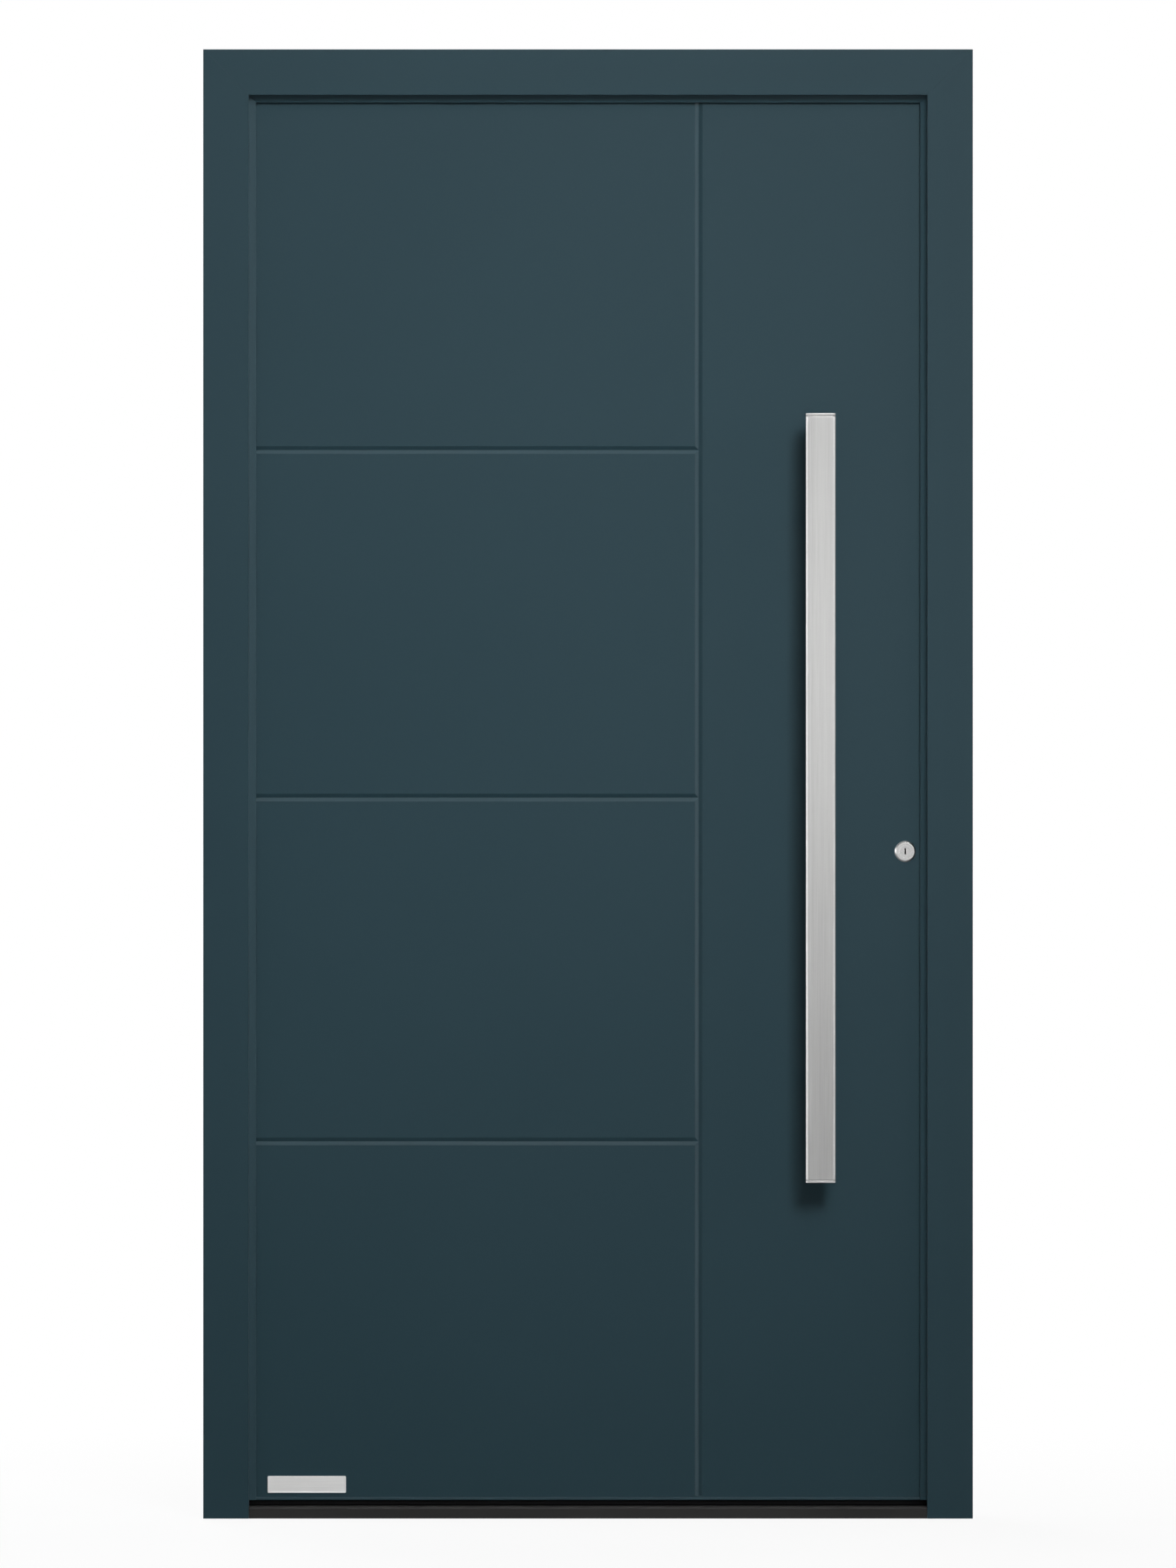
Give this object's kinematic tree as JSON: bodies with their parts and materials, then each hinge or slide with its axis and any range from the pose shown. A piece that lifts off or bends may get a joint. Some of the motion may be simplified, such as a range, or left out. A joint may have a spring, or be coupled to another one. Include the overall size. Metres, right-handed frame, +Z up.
{
  "type": "front door",
  "caption": "Panelled front door with its frame: inward opening insulated leaf with pressed grooves, bar handle outside, lever inside, key cylinder, multipoint lock, hinges and threshold.",
  "frame": {"origin": "on the floor under the threshold, midway between the jambs and midway through the frame's depth", "axes": "+X to the right seen from outside, -Y towards outside, +Z up"},
  "size_m": [1.1, 0.1815, 2.1],
  "materials": {
    "paint": "satin",
    "dark_aluminium": "satin",
    "stainless": "satin",
    "zinc": "matte",
    "brass": "satin",
    "rubber": "matte",
    "plastic": "matte",
    "foam": "matte"
  },
  "bodies": {
    "frame": {"hinge_jamb_outer": "paint", "hinge_jamb_inner": "paint", "lock_jamb_outer": "paint", "lock_jamb_inner": "paint", "head_outer": "paint", "head_inner": "paint", "frame_breaks": "plastic", "corner_cleats": "zinc", "frame_gasket": "rubber", "threshold_outer": "dark_aluminium", "threshold_core": "plastic", "threshold_inner": "dark_aluminium", "main_strike": "stainless", "upper_strike": "stainless", "lower_strike": "stainless", "dog_keeps": "stainless", "hinge_bottom_frame_wing": "stainless", "hinge_middle_frame_wing": "stainless", "hinge_top_frame_wing": "stainless", "hinge_bottom_pin": "stainless", "hinge_middle_pin": "stainless", "hinge_top_pin": "stainless"},
    "leaf": {"outer_skin": "paint", "inner_skin": "paint", "foam_core": "foam", "hinge_stile": "plastic", "lock_stile": "plastic", "top_rail": "plastic", "bottom_rail": "plastic", "bottom_seal": "rubber", "drip_trim": "paint", "lock_faceplate": "stainless", "main_lock_case": "zinc", "upper_bolt_case": "zinc", "lower_bolt_case": "zinc", "hinge_bottom_leaf_wing": "stainless", "hinge_middle_leaf_wing": "stainless", "hinge_top_leaf_wing": "stainless", "hinge_dogs": "stainless", "bar_tube": "stainless", "bar_caps": "stainless", "bar_posts": "stainless", "bar_studs": "zinc", "nameplate": "stainless", "outer_rose": "stainless", "cylinder_rose": "stainless", "cylinder_body": "brass", "lever_rose": "stainless"},
    "lever_set": {"lever": "stainless", "spindle": "zinc", "follower": "zinc"},
    "latch": {"latch_bolt": "stainless"},
    "key_plug": {"keyway_disc": "stainless", "outer_plug": "brass", "inner_plug": "brass", "cylinder_cam": "zinc"},
    "main_bolt": {"deadbolt": "stainless"},
    "top_bolt": {"upper_bolt": "stainless"},
    "low_bolt": {"lower_bolt": "stainless"},
    "drive": {"drive_rods": "zinc"}
  },
  "joints": [
    {"name": "leaf_swing", "type": "hinge", "parent": "frame", "child": "leaf", "pos_m": [-0.5015, 0.053, 0], "axis": [0, 0, 1], "range_deg": [0, 110]},
    {"name": "lever_turn", "type": "hinge", "parent": "leaf", "child": "lever_set", "pos_m": [0.454, 0.06, 1.0455], "axis": [0, -1, 0], "range_deg": [0, 45], "stiffness_Nm_per_rad": 1.5, "springref_deg": -34.38},
    {"name": "latch_slide", "type": "slide", "parent": "leaf", "child": "latch", "axis": [-1, 0, 0], "range_m": [0, 0.012]},
    {"name": "key_turn", "type": "hinge", "parent": "leaf", "child": "key_plug", "pos_m": [0.454, 0, 0.9535], "axis": [0, 1, 0], "range_deg": [0, 360]},
    {"name": "deadbolt_slide", "type": "slide", "parent": "leaf", "child": "main_bolt", "axis": [1, 0, 0], "range_m": [0, 0.02]},
    {"name": "upper_bolt_slide", "type": "slide", "parent": "leaf", "child": "top_bolt", "axis": [1, 0, 0], "range_m": [0, 0.02]},
    {"name": "lower_bolt_slide", "type": "slide", "parent": "leaf", "child": "low_bolt", "axis": [1, 0, 0], "range_m": [0, 0.02]},
    {"name": "drive_slide", "type": "slide", "parent": "leaf", "child": "drive", "axis": [0, 0, 1], "range_m": [0, 0.02]}
  ],
  "couplings": [
    {"joint": "latch_slide", "follows": "lever_turn", "m_per_rad": 0.01527},
    {"joint": "key_turn", "follows": "deadbolt_slide", "rad_per_m": 314.15},
    {"joint": "upper_bolt_slide", "follows": "deadbolt_slide", "ratio": 1},
    {"joint": "lower_bolt_slide", "follows": "deadbolt_slide", "ratio": 1},
    {"joint": "drive_slide", "follows": "deadbolt_slide", "ratio": 1}
  ]
}
